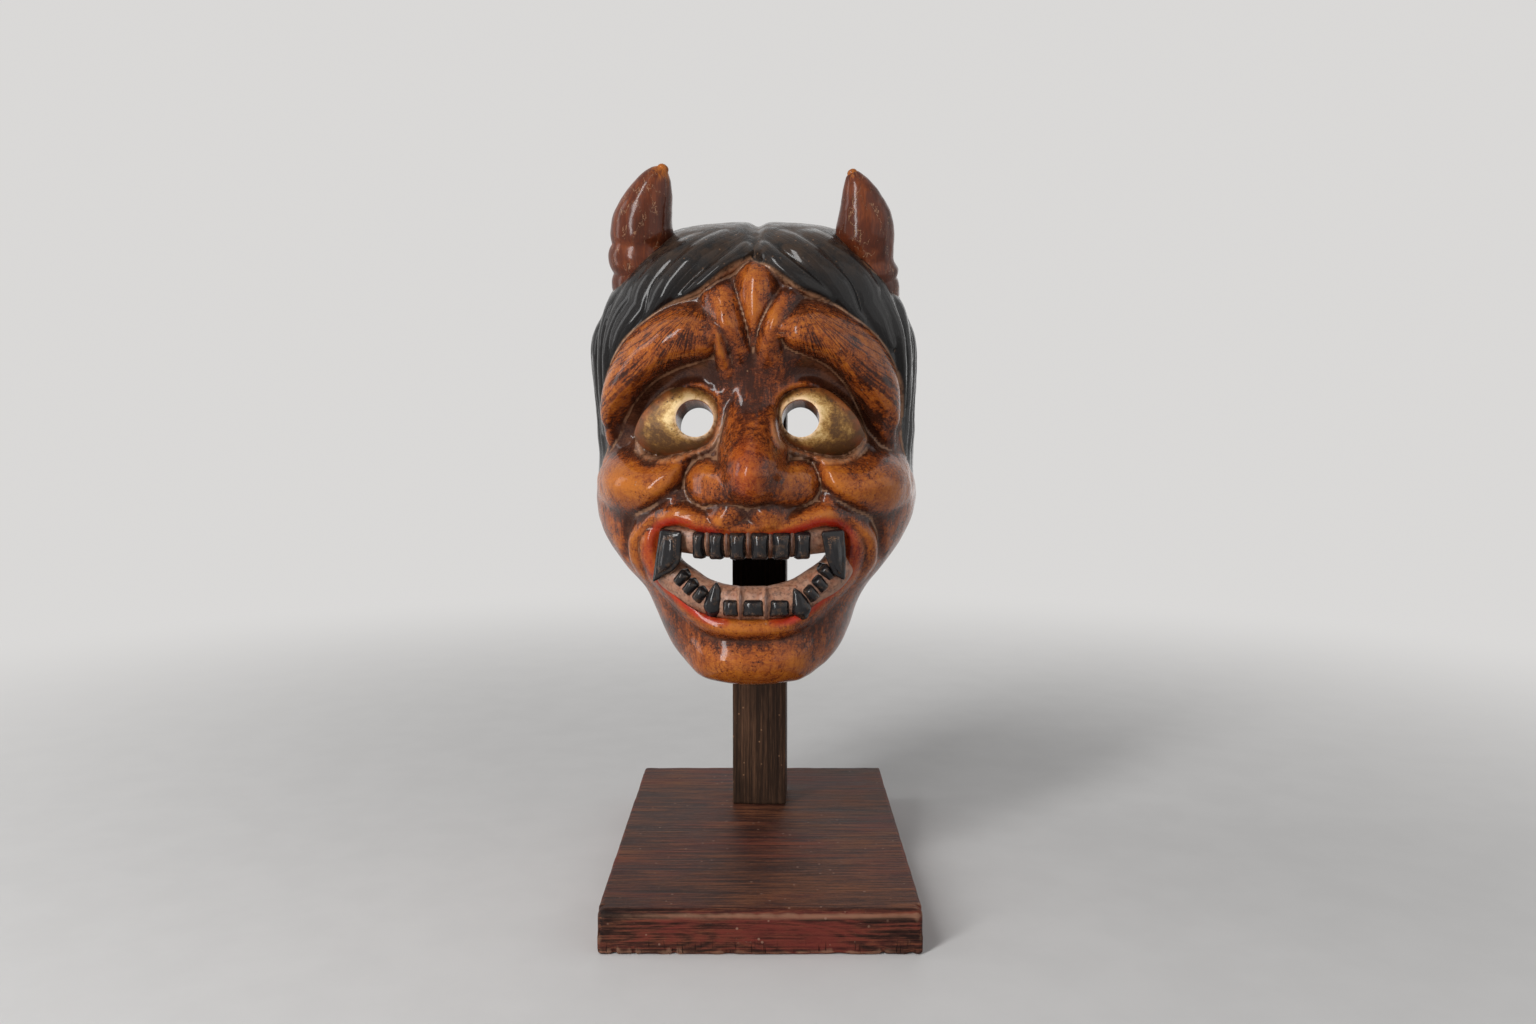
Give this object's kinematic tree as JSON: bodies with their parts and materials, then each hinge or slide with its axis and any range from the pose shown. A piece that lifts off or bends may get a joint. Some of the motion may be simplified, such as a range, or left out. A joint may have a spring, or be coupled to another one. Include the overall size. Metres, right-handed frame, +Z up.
{
  "type": "noh mask on display stand",
  "caption": "Carved horned demon mask with open mouth, bored pupils and gilt eyes, resting on the peg of a square post set in a flat wooden base board.",
  "frame": {"origin": "centre of the base board's underside", "axes": "+Z up, -Y towards the viewer the mask faces, +X to that viewer's right"},
  "size_m": [0.1549, 0.194, 0.3193],
  "materials": {
    "red_brown_lacquer": "glossy worn lacquer over carved wood, red-brown to orange, black on the hair",
    "horn_lacquer": "glossy dark red-brown lacquer, worn at the tips",
    "tarnished_gilt": "mottled tarnished gilding",
    "tooth_black": "glossy black lacquer",
    "stained_board": "dark maroon stained wood, worn at the front edge",
    "dark_post": "dark brown stained wood with vertical grain",
    "steel_screw": "plain steel"
  },
  "bodies": {
    "stand": {"base_board": "stained_board", "post": "dark_post", "support_peg": "dark_post", "post_screw_front": "steel_screw", "post_screw_back": "steel_screw"},
    "mask": {"mask_shell": "red_brown_lacquer", "horn_left": "horn_lacquer", "horn_right": "horn_lacquer", "eye_plate_left": "tarnished_gilt", "eye_plate_right": "tarnished_gilt", "upper_tooth_1": "tooth_black", "upper_tooth_2": "tooth_black", "upper_tooth_3": "tooth_black", "upper_tooth_4": "tooth_black", "upper_tooth_5": "tooth_black", "upper_tooth_6": "tooth_black", "upper_fang_left": "tooth_black", "upper_fang_right": "tooth_black", "lower_incisor_1": "tooth_black", "lower_incisor_2": "tooth_black", "lower_incisor_3": "tooth_black", "lower_canine_left": "tooth_black", "lower_canine_right": "tooth_black", "lower_molar_left_1": "tooth_black", "lower_molar_left_2": "tooth_black", "lower_molar_left_3": "tooth_black", "lower_molar_right_1": "tooth_black", "lower_molar_right_2": "tooth_black", "lower_molar_right_3": "tooth_black"}
  },
  "joints": [
    {"name": "mask_lift_off", "type": "slide", "parent": "stand", "child": "mask", "axis": [-0.0334, -0.7653, 0.6428], "range_m": [0, 0.1]}
  ]
}
